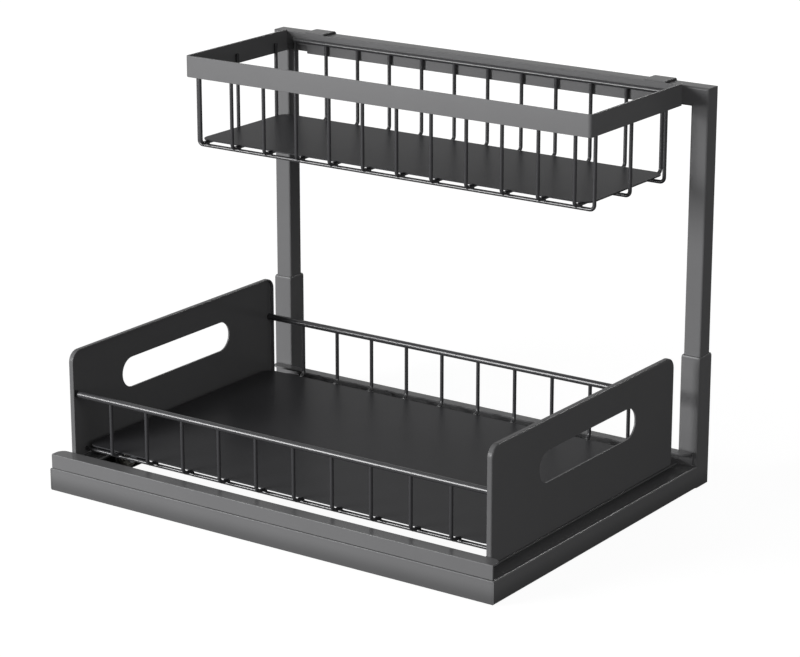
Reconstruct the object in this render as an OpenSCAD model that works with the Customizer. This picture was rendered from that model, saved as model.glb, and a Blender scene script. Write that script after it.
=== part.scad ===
// Two-tier under sink organizer: a pull-out lower tray on four rollers, and a
// wire basket that hooks over a plug-in rear frame.
// Millimetres, Z up, X to the right, front towards -Y.
// The origin is on the floor, in the middle of the whole footprint.

/* [Overall] */
// Overall width along X
overall_width = 360; // [324:1:400]
// Overall depth along Y
overall_depth = 270; // [243:1:320]
// Overall height, to the top of the basket hooks
overall_height = 280; // [252:1:330]

/* [Base frame] */
// Sheet thickness of the base frame and the tray frame
sheet = 1.2; // [1.0:0.1:1.3]
// Height of the base frame's top face above the floor
base_top = 16.6; // [16.2:0.1:17.4]
// Width of the base frame's members, seen from above
rail_width = 17; // [16.6:0.1:18]
// Thickness of the adhesive foot pads
pad_height = 0.8; // [0.6:0.1:1.0]
// Diameter of the foot pads
pad_diameter = 12; // [8:0.5:13]
// Distance of the foot pads from the front and the rear, along Y
pad_inset = 35; // [30:1:65]

/* [Rear frame] */
// Side of the square tube of the uprights and the crossbar
tube = 13.2; // [12:0.1:13.3]
// Wall of the square tube
tube_wall = 1.2; // [0.8:0.1:2]
// Width of a socket, along X
sleeve_width = 15; // [14.8:0.1:15.6]
// Depth of a socket, along Y
sleeve_depth = 16.6; // [16:0.1:17]
// Height of the sockets' tops above the floor
sleeve_top = 94; // [80:1:110]
// Gap round the tube inside its socket
sleeve_clearance = 0.1; // [0.05:0.01:0.15]
// Height at which the uprights stop inside the sockets
socket_floor = 20; // [19:0.5:30]

/* [Rear ledge] */
// How far the rear ledge reaches forward of the sockets
rear_ledge_depth = 9; // [7:0.1:10]
// Corner radius of the front and rear ledges
ledge_radius = 5.5; // [3:0.1:6.5]

/* [Tray frame] */
// Height of the ledges above the base frame's top face
ledge_rise = 10; // [9.4:0.1:12]
// Depth of the front ledge, along Y
front_ledge_depth = 10.5; // [9:0.1:11]
// Width of the tray frame's side sheets
side_sheet_width = 20.8; // [19.4:0.1:24]
// Width of the side sheets' narrow front part
side_neck_width = 12; // [11.6:0.1:12.5]
// Distance from the front to the end of that narrow part
side_neck_length = 43; // [30:1:46]
// Depth of the tray frame's rear cross sheet
cross_sheet_depth = 23; // [15:1:30]
// Radius of the tray frame's rear outer corners
tray_radius = 9; // [4:0.5:12]
// Height of the upturned lip on the rear cross sheet
tray_lip = 3.6; // [2:0.1:4]

/* [Rollers] */
// Diameter of the nylon rollers
roller_diameter = 12.8; // [12:0.1:12.8]
// Width of the nylon rollers
roller_width = 6.5; // [4:0.1:6.8]
// Diameter of the roller pins
pin_diameter = 4; // [3:0.1:5]
// Diameter of the roller pins' heads
pin_head = 7; // [6.4:0.1:8]
// Radial gap between a roller and its pin
roller_fit = 0.05; // [0.02:0.01:0.1]
// Distance of the front rollers from the front, along Y
front_roller_inset = 55; // [52:1:60]
// Distance of the rear rollers from the rear, along Y
rear_roller_inset = 40; // [35:1:50]

/* [Side panels] */
// Gap between a side panel and the sockets, along Y
panel_gap = 18.4; // [17:0.2:26]
// Height of a side panel
panel_height = 77.5; // [70:0.5:100]
// Depth of a side panel's folded edge
panel_edge = 4; // [2.5:0.1:4.5]
// Radius of a side panel's upper corners
panel_radius = 8; // [4:0.5:14]
// Length of a hand slot
slot_length = 119; // [80:1:150]
// Height of a hand slot
slot_height = 21.5; // [16:0.5:28]
// Height of a hand slot's middle above the panel's foot
slot_rise = 46.3; // [36:0.1:50]

/* [Tray wires] */
// Diameter of the tray's thin wires
tray_wire = 2.6; // [2:0.1:3]
// Diameter of the tray's front and rear rails
rail_wire = 4.6; // [3.6:0.1:5]
// Height of the front rail above the tray frame
front_rail_rise = 46.7; // [36:0.1:52]
// Height of the rear rail above the tray frame
rear_rail_rise = 47.8; // [36:0.1:52]
// Number of wires that cross under the tray's floor
tray_wire_count = 10; // [4:2:10]
// Distance of the outermost of those wires from the side panels
tray_wire_margin = 31.7; // [12:0.1:40]
// Height of the tray's floor above the tray frame
floor_rise = 9.8; // [9:0.1:14]
// Thickness of the two floor plates
floor_sheet = 1.0; // [0.8:0.1:1.4]
// Corner radius of the two floor plates
floor_radius = 8; // [3:0.5:12]

/* [Upper basket] */
// How much narrower the basket's rim is than the whole
basket_inset = 33; // [32:1:50]
// Outer depth of the basket's rim
basket_depth = 115.4; // [90:0.2:130]
// Sideways offset of the basket on the crossbar
basket_shift = -4.2; // [-5:0.1:5]
// Height of the basket's rim band
rim_height = 15; // [12:0.1:20]
// Thickness of the basket's rim band
rim_sheet = 1.5; // [1.0:0.1:2]
// Radius of the rim's front corners
rim_radius = 2.6; // [2.2:0.1:6]
// Depth of the basket, from the rim's top to its floor
basket_drop = 59.3; // [45:0.1:90]
// Diameter of the basket's wires
basket_wire = 2.6; // [2:0.1:3]
// Diameter of the basket's rear top wire
top_wire = 3.2; // [3.0:0.1:3.6]
// Distance of that wire's middle below the rim's top
rear_wire_drop = 6.4; // [5:0.1:8]
// Number of wires that run from front to back
basket_wire_count = 12; // [6:1:12]
// Distance of the first of those wires from the rim's left side
basket_wire_left = 10.3; // [7:0.1:14]
// Distance of the last of those wires from the rim's right side
basket_wire_right = 13.1; // [7:0.1:16]
// Radius of the wires' bends, on the centre line
bend_radius = 3.2; // [2.5:0.1:5.5]

/* [Hooks] */
// Thickness of the hook plate
hook_sheet = 1.2; // [1.0:0.1:1.4]
// Gap between the hook plate and the crossbar
hook_gap = 0.3; // [0.3:0.05:0.35]
// Width of a hook
hook_width = 16; // [12:0.5:18]
// Distance of the left hook's middle from the left side
hook_inset_left = 38.5; // [37:0.5:80]
// Distance of the right hook's middle from the right side
hook_inset_right = 41; // [40:0.5:80]
// How far the hooks reach down behind the crossbar
hook_reach = 10; // [6:0.5:12]

/* [Hidden] */
$fn = 48;
// Common heights and edges of the base frame
half_width = overall_width / 2;
half_depth = overall_depth / 2;
rail_inner = half_width - rail_width;
rail_rear = half_depth - sleeve_depth;
bar_rear = -half_depth + rail_width;
pad_offset = half_depth - pad_inset;
// Air between parts that move past each other
air_gap = 0.3;
// A little extra length, so that a cut passes clear through a face
over = 1;

// Uprights
post_x = half_width - sleeve_width / 2;
post_y = half_depth - sleeve_depth / 2;
socket_size = tube + 2 * sleeve_clearance;
frame_top = overall_height - hook_sheet - hook_gap;
post_foot = socket_floor + air_gap;
crossbar_front = post_y - tube / 2;
crossbar_rear = post_y + tube / 2;

// Tray frame
tray_bottom = base_top + 3.2;
tray_top = tray_bottom + sheet;
tray_outer = half_width - 9.4;
tray_inner = tray_outer - side_sheet_width;
neck_rear = -half_depth + side_neck_length;
tray_rear = rail_rear - sheet - 2.2;
ledge_top = base_top + ledge_rise + 0.1;
skirt_bottom = base_top + 0.4;
skirt_front = -half_depth + 0.5;
skirt_half = half_width - 1.3;
rear_ledge_half = half_width - 3;
rear_ledge_top = base_top + ledge_rise;

// Side panels
panel_front = -half_depth + 11.6;
panel_rear = rail_rear - panel_gap;
panel_inner = tray_outer - sheet;
slot_y = (panel_front + panel_rear) / 2 + 2.2;

// Rollers: their gaps above and below are air_gap
roller_radius = roller_diameter / 2;
front_roller_y = half_depth - front_roller_inset;
rear_roller_y = half_depth - rear_roller_inset;
rear_roller_z = pad_height + sheet + air_gap + roller_radius;
front_roller_z = tray_bottom - air_gap - roller_radius;
bracket_half = 8;
hanger_inner = rail_inner - 2.7;
shoulder = pin_diameter + 2;
head_thick = 1.2;
shoulder_front = 0.6;
shoulder_rear = rail_inner - hanger_inner + 2.1;

// Tray wires
tray_wire_pitch = 2 * (panel_inner - tray_wire_margin) / (tray_wire_count - 1);
tray_front_y = panel_front + 4.4;
tray_rear_y = panel_rear - 3;
front_rail_z = tray_top + front_rail_rise;
rear_rail_z = tray_top + rear_rail_rise;
tray_floor_bottom = tray_top + floor_rise - floor_sheet;
tray_wire_z = tray_floor_bottom - tray_wire / 2;
foot_wire_z = tray_wire_z - tray_wire;
foot_wire_inset = 9.4;
tray_bend = 4.6;
tray_floor_half = tray_outer - 5.8;
tray_floor_front = tray_front_y + 5.4;
tray_floor_rear = tray_rear_y - 7.7;

// Upper basket
plate_rear = crossbar_front - hook_gap;
plate_front = plate_rear - hook_sheet;
basket_width = overall_width - basket_inset;
rim_left = basket_shift - basket_width / 2;
rim_right = basket_shift + basket_width / 2;
rim_front = plate_rear - basket_depth;
rim_top = overall_height - 0.2;
rim_bottom = rim_top - rim_height;
wire_top = rim_bottom + rim_height / 2;
basket_floor_top = rim_top - basket_drop;
basket_wire_z = basket_floor_top - floor_sheet - basket_wire / 2;
long_wire_z = basket_wire_z - basket_wire;
basket_front_y = rim_front + rim_sheet + basket_wire / 2;
basket_rear_y = plate_front - top_wire / 2;
basket_first_x = rim_left + basket_wire_left;
basket_wire_pitch = (basket_width - basket_wire_left - basket_wire_right)
    / (basket_wire_count - 1);
rear_wire_z = rim_top - rear_wire_drop;
long_left = rim_left + rim_sheet + basket_wire / 2;
long_right = rim_right - rim_sheet - basket_wire / 2;
long_front_y = basket_front_y + 7.6;
long_rear_y = basket_rear_y - 13.1;
plate_top = frame_top + hook_gap;
plate_bottom = rim_bottom - 0.4;
plate_shoulder = rim_bottom + 5.2;
hook_left = half_width - hook_inset_left;
hook_right = half_width - hook_inset_right;
plate_left = rim_left + 19.7;
plate_right = rim_right - 8.3;

// One name for each separate piece

// Shared shapes

// A box given by its two corners
module span(low, high) {
    translate(low) cube(high - low);
}

// Mirrors a right-hand piece to the left
module on_side(side) {
    if (side < 0) mirror([1, 0, 0]) children();
    else children();
}

// Maps the XY plane to the YZ plane, so that a height runs along X
module in_yz() {
    rotate([90, 0, 90]) children();
}

// Maps the XY plane to the XZ plane, so that a height runs along +Y
module in_xz() {
    mirror([0, 1, 0]) rotate([90, 0, 0]) children();
}

// A rectangle with all four corners round
module round_rect(low, high, r) {
    translate([low[0] + r, low[1]]) square([high[0] - low[0] - 2 * r, high[1] - low[1]]);
    translate([low[0], low[1] + r]) square([high[0] - low[0], high[1] - low[1] - 2 * r]);
    for (x = [low[0] + r, high[0] - r], y = [low[1] + r, high[1] - r])
        translate([x, y]) circle(r);
}

// A rectangle with only the two corners on its +Y side round
module arch_rect(low, high, r) {
    translate([low[0] + r, low[1]]) square([high[0] - low[0] - 2 * r, high[1] - low[1]]);
    translate(low) square([high[0] - low[0], high[1] - low[1] - r]);
    intersection() {
        translate(low) square(high - low);
        for (x = [low[0] + r, high[0] - r])
            translate([x, high[1] - r]) circle(r);
    }
}

// A quarter bend of wire in the XY plane, from start to start + 90 degrees
module bend(r, d, start) {
    rotate([0, 0, start]) rotate_extrude(angle = 90) translate([r, 0]) circle(d = d, $fn = 24);
}

// A U of wire in the XY plane: up at a, across at y = 0, and up again at b
module u_wire(a, b, top_a, top_b, r, d) {
    translate([a, r, 0]) rotate([-90, 0, 0]) cylinder(d = d, h = top_a - r, $fn = 24);
    translate([a + r, r, 0]) bend(r, d, 180);
    translate([a + r, 0, 0]) rotate([0, 90, 0]) cylinder(d = d, h = b - a - 2 * r, $fn = 24);
    translate([b - r, r, 0]) bend(r, d, 270);
    translate([b, r, 0]) rotate([-90, 0, 0]) cylinder(d = d, h = top_b - r, $fn = 24);
}

// A straight rod along X
module rod(x0, x1, y, z, d) {
    translate([x0, y, z]) rotate([0, 90, 0]) cylinder(d = d, h = x1 - x0, $fn = 32);
}

// Base frame

// Side rail: an inward-facing channel whose outer wall runs past the front bar
module base_rail(side) {
    color("#4a4a4c") on_side(side) {
        span([half_width - sheet, -half_depth, pad_height], [half_width, rail_rear, base_top]);
        span([rail_inner, bar_rear, base_top - sheet], [half_width - sheet, rail_rear, base_top]);
        span([rail_inner, bar_rear, pad_height],
            [half_width - sheet, rail_rear, pad_height + sheet]);
    }
}

// Front bar: a channel open to the rear, between the outer walls of the rails
module base_front_bar() {
    x = half_width - sheet;
    color("#5a5a5c") {
        span([-x, -half_depth, pad_height], [x, -half_depth + sheet, base_top]);
        span([-x, -half_depth + sheet, base_top - sheet], [x, bar_rear, base_top]);
        span([-x, -half_depth + sheet, pad_height], [x, bar_rear, pad_height + sheet]);
    }
}

// Rear bar: a channel open to the front, between the two sockets
module base_rear_bar() {
    x = half_width - sleeve_width;
    color("#4a4a4c") {
        span([-x, half_depth - sheet, pad_height], [x, half_depth, base_top]);
        span([-x, rail_rear, base_top - sheet], [x, half_depth - sheet, base_top]);
        span([-rail_inner, rail_rear - sheet, base_top - sheet],
            [rail_inner, rail_rear, base_top]);
        span([-x, rail_rear, pad_height], [x, half_depth - sheet, pad_height + sheet]);
    }
}

// Rear ledge: a round-cornered shelf on a web, in front of the sockets
module rear_ledge() {
    color("#5e5e60") {
        translate([0, 0, rear_ledge_top - sheet]) linear_extrude(sheet) mirror([0, 1, 0])
            arch_rect([-rear_ledge_half, -rail_rear],
                [rear_ledge_half, -rail_rear + rear_ledge_depth], ledge_radius);
        span([-rear_ledge_half, rail_rear - sheet, base_top],
            [rear_ledge_half, rail_rear, rear_ledge_top - sheet]);
    }
}

// Socket for an upright: a square tube with a stop across it
module post_sleeve(side) {
    x = side * post_x;
    color("#525254") difference() {
        span([x - sleeve_width / 2, rail_rear, pad_height],
            [x + sleeve_width / 2, half_depth, sleeve_top]);
        span([x - socket_size / 2, post_y - socket_size / 2, socket_floor],
            [x + socket_size / 2, post_y + socket_size / 2, sleeve_top + over]);
        span([x - socket_size / 2, post_y - socket_size / 2, pad_height - over],
            [x + socket_size / 2, post_y + socket_size / 2, socket_floor - 2]);
    }
}

module foot_pads() {
    x = (rail_inner + half_width - sheet) / 2;
    color("#1c1c1c") for (px = [-x, x], py = [-pad_offset, pad_offset])
        translate([px, py, 0]) cylinder(d = pad_diameter, h = pad_height);
}

// Rollers

// Plate on the inner edge of a rail that carries the front roller's pin
module roller_bracket(side) {
    color("#6a6a6c") on_side(side) difference() {
        span([rail_inner - sheet, -front_roller_y - bracket_half, pad_height],
            [rail_inner, -front_roller_y + bracket_half, tray_bottom - 1.6]);
        rod(rail_inner - sheet - over, rail_inner + over, -front_roller_y, front_roller_z,
            pin_diameter);
    }
}

// Pin along X: shank, shoulder that spaces the roller, and a head at its free end
module roller_pin(x_root, x_shoulder, x_face, x_head, y, z) {
    toward = sign(x_head - x_root);
    for (part = [[x_root, x_head, pin_diameter], [x_shoulder, x_face, shoulder],
            [x_head, x_head + toward * head_thick, pin_head]])
        rod(min(part[0], part[1]), max(part[0], part[1]), y, z, part[2]);
}

module front_roller_pins() {
    face = rail_inner - sheet - shoulder_front;
    color("#b4b4b4") for (side = [-1, 1]) on_side(side)
        roller_pin(rail_inner, rail_inner - sheet, face,
            face - 2 * air_gap - roller_width, -front_roller_y, front_roller_z);
}

module front_roller(side) {
    face = rail_inner - sheet - shoulder_front - air_gap;
    color("#e6e6e0") on_side(side) difference() {
        rod(face - roller_width, face, -front_roller_y, front_roller_z, roller_diameter);
        rod(face - roller_width - over, face + over, -front_roller_y, front_roller_z,
            pin_diameter + 2 * roller_fit);
    }
}

module rear_roller_pins() {
    root = hanger_inner;
    face = hanger_inner + sheet + shoulder_rear;
    color("#b4b4b4") for (side = [-1, 1]) on_side(side) {
        roller_pin(root, root + sheet, face, face + 2 * air_gap + roller_width,
            rear_roller_y, rear_roller_z);
        rod(root - head_thick, root, rear_roller_y, rear_roller_z, pin_head);
    }
}

module rear_roller(side) {
    face = hanger_inner + sheet + shoulder_rear + air_gap;
    color("#e6e6e0") on_side(side) difference() {
        rod(face, face + roller_width, rear_roller_y, rear_roller_z, roller_diameter);
        rod(face - over, face + roller_width + over, rear_roller_y, rear_roller_z,
            pin_diameter + 2 * roller_fit);
    }
}

// Tray frame

// Front bar: the strip above the base frame's front, folded back into a ledge
module tray_front_bar() {
    color("#606062") {
        span([-skirt_half, skirt_front, skirt_bottom],
            [skirt_half, skirt_front + sheet, ledge_top - sheet]);
        translate([0, 0, ledge_top - sheet]) linear_extrude(sheet)
            arch_rect([-skirt_half, skirt_front],
                [skirt_half, skirt_front + front_ledge_depth], ledge_radius);
    }
}

// Side sheet, narrow in front, with a flange folded down that hangs the rear roller
module tray_side(side) {
    color("#3c3c3e") on_side(side) {
        translate([0, 0, tray_bottom]) linear_extrude(sheet) {
            translate([tray_outer - side_neck_width, skirt_front + sheet])
                square([side_neck_width, tray_rear - tray_radius - skirt_front - sheet]);
            translate([tray_inner, neck_rear])
                square([side_sheet_width, tray_rear - tray_radius - neck_rear]);
            translate([tray_inner, neck_rear])
                square([side_sheet_width - tray_radius, tray_rear - neck_rear]);
            translate([tray_outer - tray_radius, tray_rear - tray_radius]) circle(tray_radius);
        }
        difference() {
            span([hanger_inner, rear_roller_y - bracket_half, rear_roller_z - pin_head / 2 - 0.4],
                [hanger_inner + sheet, rear_roller_y + bracket_half, tray_bottom]);
            rod(hanger_inner - over, hanger_inner + sheet + over, rear_roller_y, rear_roller_z,
                pin_diameter);
        }
    }
}

// Cross sheet between the side sheets, with its rear edge turned up
module tray_cross_sheet() {
    color("#3c3c3e") {
        span([-tray_inner, tray_rear - cross_sheet_depth, tray_bottom],
            [tray_inner, tray_rear, tray_top]);
        span([-tray_inner, tray_rear - sheet, tray_top],
            [tray_inner, tray_rear, tray_top + tray_lip]);
    }
}

// Side panel: a pressed sheet with its edge folded inwards and a hand slot
module side_panel(side) {
    low = [panel_front, tray_top];
    high = [panel_rear, tray_top + panel_height];
    slot_z = tray_top + slot_rise;
    slot_half = slot_length / 2;
    color("#3a3a3c") on_side(side) translate([tray_outer, 0, 0]) mirror([1, 0, 0]) difference() {
        in_yz() linear_extrude(panel_edge) arch_rect(low, high, panel_radius);
        translate([sheet, 0, 0]) in_yz() linear_extrude(panel_edge)
            arch_rect(low + [sheet, sheet], high - [sheet, sheet], panel_radius - sheet);
        translate([-over, 0, 0]) in_yz() linear_extrude(sheet + 2 * over)
            round_rect([slot_y - slot_half, slot_z - slot_height / 2],
                [slot_y + slot_half, slot_z + slot_height / 2], slot_height / 2 - 0.25);
    }
}

// Tray wires

module tray_front_rail() {
    color("#2e2e30") rod(-panel_inner, panel_inner, tray_front_y, front_rail_z, rail_wire);
}

module tray_rear_rail() {
    color("#2e2e30") rod(-panel_inner, panel_inner, tray_rear_y, rear_rail_z, rail_wire);
}

// Cross wire under the thin wires, from panel to panel
module tray_foot_wire(y) {
    color("#2e2e30") rod(-panel_inner, panel_inner, y, foot_wire_z, tray_wire);
}

// Thin wire: down from the front rail, under the floor and up to the rear rail
module tray_cross_wire(i) {
    x = (i - (tray_wire_count + 1) / 2) * tray_wire_pitch;
    color("#2e2e30") difference() {
        translate([x, 0, tray_wire_z]) in_yz()
            u_wire(tray_front_y, tray_rear_y, front_rail_z - tray_wire_z,
                rear_rail_z - tray_wire_z, tray_bend, tray_wire);
        rod(x - tray_wire, x + tray_wire, tray_front_y, front_rail_z, rail_wire);
        rod(x - tray_wire, x + tray_wire, tray_rear_y, rear_rail_z, rail_wire);
    }
}

module tray_floor() {
    color("#2a2a2c") translate([0, 0, tray_floor_bottom]) linear_extrude(floor_sheet)
        round_rect([-tray_floor_half, tray_floor_front], [tray_floor_half, tray_floor_rear],
            floor_radius);
}

// Rear frame

// Half of the XZ plane that an upright keeps, outside the mitre of its upper corner
module mitre(side) {
    outer = post_x + tube / 2;
    reach = 60;
    in_xz_wedge = [[outer + over, frame_top + over], [outer - reach, frame_top - reach],
        [outer - reach, -over], [outer + over, -over]];
    on_side(side) translate([0, crossbar_front - over, 0]) in_xz()
        linear_extrude(tube + 2 * over) polygon(in_xz_wedge);
}

module upright(side) {
    x = side * post_x;
    inner = tube / 2 - tube_wall;
    color("#545456") intersection() {
        difference() {
            span([x - tube / 2, crossbar_front, post_foot],
                [x + tube / 2, crossbar_rear, frame_top]);
            span([x - inner, post_y - inner, post_foot - over],
                [x + inner, post_y + inner, frame_top - tube_wall]);
        }
        mitre(side);
    }
}

module crossbar() {
    outer = post_x + tube / 2;
    inner = tube / 2 - tube_wall;
    middle = frame_top - tube / 2;
    color("#545456") difference() {
        span([-outer, crossbar_front, frame_top - tube], [outer, crossbar_rear, frame_top]);
        span([-outer + tube_wall, post_y - inner, middle - inner],
            [outer - tube_wall, post_y + inner, middle + inner]);
        mitre(-1);
        mitre(1);
    }
}

// Upper basket

// Outline of the rim's band, inset by t
module rim_outline(t, r) {
    mirror([0, 1, 0]) arch_rect([rim_left + t, -plate_rear - (t > 0 ? over : 0)],
        [rim_right - t, -rim_front - t], r);
}

// Rim: a flat band round the front and the two sides
module basket_rim() {
    color("#585858") translate([0, 0, rim_bottom]) linear_extrude(rim_height) difference() {
        rim_outline(0, rim_radius);
        rim_outline(rim_sheet, rim_radius - rim_sheet);
    }
}

// Hook over the crossbar: a flat top and a leg down behind it
module hook(x) {
    hook_rear = crossbar_rear + hook_gap;
    span([x - hook_width / 2, plate_front, plate_top],
        [x + hook_width / 2, hook_rear + hook_sheet, plate_top + hook_sheet]);
    span([x - hook_width / 2, hook_rear, plate_top - hook_reach],
        [x + hook_width / 2, hook_rear + hook_sheet, plate_top]);
}

// Hook plate: a strip in front of the crossbar between the rim's ends, with two hooks
module hook_plate() {
    color("#58585a") {
        span([rim_left + rim_sheet, plate_front, plate_shoulder],
            [rim_right - rim_sheet, plate_rear, plate_top]);
        span([plate_left, plate_front, plate_bottom], [plate_right, plate_rear, plate_shoulder]);
        hook(-hook_left);
        hook(hook_right);
    }
}

function basket_wire_x(i) = basket_first_x + (i - 1) * basket_wire_pitch;

module basket_rear_wire() {
    color("#4a4a4a") rod(basket_wire_x(1) - basket_wire / 2,
        basket_wire_x(basket_wire_count) + basket_wire / 2, basket_rear_y, rear_wire_z,
        top_wire);
}

// Thin wire: down inside the front rim, under the floor and up to the rear wire
module basket_cross_wire(i) {
    x = basket_wire_x(i);
    color("#4a4a4a") difference() {
        translate([x, 0, basket_wire_z]) in_yz()
            u_wire(basket_front_y, basket_rear_y, wire_top - basket_wire_z,
                rear_wire_z - basket_wire_z, bend_radius, basket_wire);
        rod(x - basket_wire, x + basket_wire, basket_rear_y, rear_wire_z, top_wire);
    }
}

// Long wire: up inside one side of the rim, and under all thin wires to the other
module basket_long_wire(y) {
    color("#4a4a4a") translate([0, y, long_wire_z]) in_xz()
        u_wire(long_left, long_right, wire_top - long_wire_z, wire_top - long_wire_z,
            bend_radius, basket_wire);
}

module basket_floor() {
    edge = basket_wire / 2 + 1.0;
    color("#333333") translate([0, 0, basket_floor_top - floor_sheet])
        linear_extrude(floor_sheet)
            round_rect([long_left + edge, basket_front_y + 5], [long_right - edge,
                basket_rear_y - 7.7], floor_radius);
}

base_rail(-1);  // base_rail_left
base_rail(1);  // base_rail_right
base_front_bar();
base_rear_bar();
rear_ledge();
post_sleeve(-1);  // post_sleeve_left
post_sleeve(1);  // post_sleeve_right
foot_pads();
roller_bracket(-1);  // roller_bracket_left
roller_bracket(1);  // roller_bracket_right
front_roller_pins();
front_roller(-1);  // front_roller_left
front_roller(1);  // front_roller_right
rear_roller(-1);  // rear_roller_left
rear_roller(1);  // rear_roller_right
tray_front_bar();
tray_side(-1);  // tray_side_left
tray_side(1);  // tray_side_right
tray_cross_sheet();
rear_roller_pins();
side_panel(-1);  // side_panel_left
side_panel(1);  // side_panel_right
tray_front_rail();
tray_rear_rail();
tray_foot_wire(tray_front_y + foot_wire_inset);  // tray_foot_wire_front
tray_foot_wire(tray_rear_y - foot_wire_inset);  // tray_foot_wire_rear
for (i = [1:tray_wire_count])
    tray_cross_wire(i);
tray_floor();
upright(-1);  // upright_left
upright(1);  // upright_right
crossbar();
basket_rim();
hook_plate();
basket_rear_wire();
for (i = [1:basket_wire_count])
    basket_cross_wire(i);
basket_long_wire(long_front_y);  // basket_long_wire_front
basket_long_wire((long_front_y + long_rear_y) / 2);  // basket_long_wire_middle
basket_long_wire(long_rear_y);  // basket_long_wire_rear
basket_floor();
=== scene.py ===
# %% [markdown]
# # A two-tier under sink organizer
# A low sheet-metal base carries a drawer that rolls out to the front, and an inverted-U
# frame plugs into two sockets at its back. A wire basket hooks over that frame. Everything
# is powder-coated steel in one dark grey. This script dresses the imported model: the sheets
# get their bend radii, the wires their round bends and the paint its fine orange peel.
#
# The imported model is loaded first. It fixes every size, so nothing here is fitted by eye:
# a piece that replaces a node is drawn with the node's own numbers.
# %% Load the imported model
import math

import bmesh
import bpy
from mathutils import Matrix, Vector


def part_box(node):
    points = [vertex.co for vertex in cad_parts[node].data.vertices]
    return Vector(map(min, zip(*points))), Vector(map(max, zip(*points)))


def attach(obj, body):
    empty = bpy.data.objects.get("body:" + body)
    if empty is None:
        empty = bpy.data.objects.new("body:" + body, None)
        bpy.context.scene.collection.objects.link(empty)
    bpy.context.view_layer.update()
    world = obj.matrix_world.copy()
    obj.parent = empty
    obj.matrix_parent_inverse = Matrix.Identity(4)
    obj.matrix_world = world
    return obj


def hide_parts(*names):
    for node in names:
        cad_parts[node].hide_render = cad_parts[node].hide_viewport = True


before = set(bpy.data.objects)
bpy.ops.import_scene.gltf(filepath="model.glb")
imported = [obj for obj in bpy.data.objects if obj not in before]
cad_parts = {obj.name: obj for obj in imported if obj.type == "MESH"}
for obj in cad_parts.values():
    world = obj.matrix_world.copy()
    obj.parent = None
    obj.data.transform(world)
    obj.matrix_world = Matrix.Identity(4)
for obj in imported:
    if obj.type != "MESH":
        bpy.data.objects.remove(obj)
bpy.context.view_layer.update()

MM = 0.001
scene = bpy.context.scene

# %% [markdown]
# ## Camera
# The photograph looks at the object from its right front corner, a little from above, through
# a long lens. The place, direction and focal length were solved from the corners of the base,
# the drawer, the frame and the basket. A plain tilted camera is used and no lens shift, so that
# a view from any other side stays centred.
# %% Set up the camera
CAMERA_AZIMUTH = math.radians(34.854)
CAMERA_ELEVATION = math.radians(16.985)
CAMERA_PLACE = Vector((1.0556, -1.4927, 0.6717))
FOCAL_LENGTH = 127.77  # mm on a 36 mm wide sensor


def away_from(azimuth, elevation):
    """Unit vector from the object towards a viewer; azimuth 0 is straight in front."""
    return Vector((math.sin(azimuth) * math.cos(elevation),
                   -math.cos(azimuth) * math.cos(elevation), math.sin(elevation)))


def aim(thing, direction):
    """Turns a camera or lamp so that it looks along direction."""
    thing.rotation_mode = "QUATERNION"
    thing.rotation_quaternion = direction.to_track_quat("-Z", "Y")


camera = bpy.data.objects.new("Camera", bpy.data.cameras.new("Camera"))
camera.data.lens = FOCAL_LENGTH
camera.data.clip_start, camera.data.clip_end = 0.05, 50
camera.location = CAMERA_PLACE
aim(camera, -away_from(CAMERA_AZIMUTH, CAMERA_ELEVATION))
scene.collection.objects.link(camera)
scene.camera = camera
scene.view_settings.view_transform = "Standard"
print("camera at", tuple(round(c, 3) for c in CAMERA_PLACE), "lens", FOCAL_LENGTH)

# %% [markdown]
# ## Helpers for materials
# Colours are written as the sRGB hex values that a paint chip would have and turned into the
# linear values that the renderer works in. One small function adds a node, sets it and links
# it, so a material reads as a short list of steps.
# %% Colour and node helpers


def paint_chip(hex_colour):
    """Linear RGBA of an sRGB hex colour."""
    parts = [int(hex_colour[i:i + 2], 16) / 255 for i in (1, 3, 5)]
    return [c / 12.92 if c <= 0.04045 else ((c + 0.055) / 1.055) ** 2.4 for c in parts] + [1.0]


def add_node(tree, kind, settings=None, **inputs):
    """Adds a node. An input takes a value, or a socket to link from; _ stands for a space."""
    node = tree.nodes.new(kind)
    for name, value in (settings or {}).items():
        setattr(node, name, value)
    for name, value in inputs.items():
        key = int(name[1:]) if name[0] == "n" and name[1:].isdigit() else name.replace("_", " ")
        if isinstance(value, bpy.types.NodeSocket):
            tree.links.new(value, node.inputs[key])
        else:
            node.inputs[key].default_value = value
    return node


def empty_material(name):
    """A material without nodes, and its tree."""
    material = bpy.data.materials.new(name)
    material.use_nodes = True
    material.node_tree.nodes.clear()
    return material, material.node_tree


# %% [markdown]
# ## Powder-coated steel
# Powder paint is sprayed on dry and melted in an oven. It flows to an even satin film with a
# faint orange peel: shallow waves about 2 mm apart, and a finer grain of about 0.4 mm. Both are
# noise bump at those sizes. A slow drift of the tone, about 60 mm long, keeps large sheets from
# looking printed. Each part of the object gets its own shade: the frame is the lightest, the
# panels come next, and the wires and the floor plates are the darkest.
# %% Make the paints
PEEL_WAVE = 2.0 * MM
PEEL_GRAIN = 0.4 * MM
TONE_DRIFT = 60 * MM
# Heights over which the painted shade towards the floor fades out
PAINTED_SHADE_LOW, PAINTED_SHADE_HIGH = 2 * MM, 14 * MM


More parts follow.
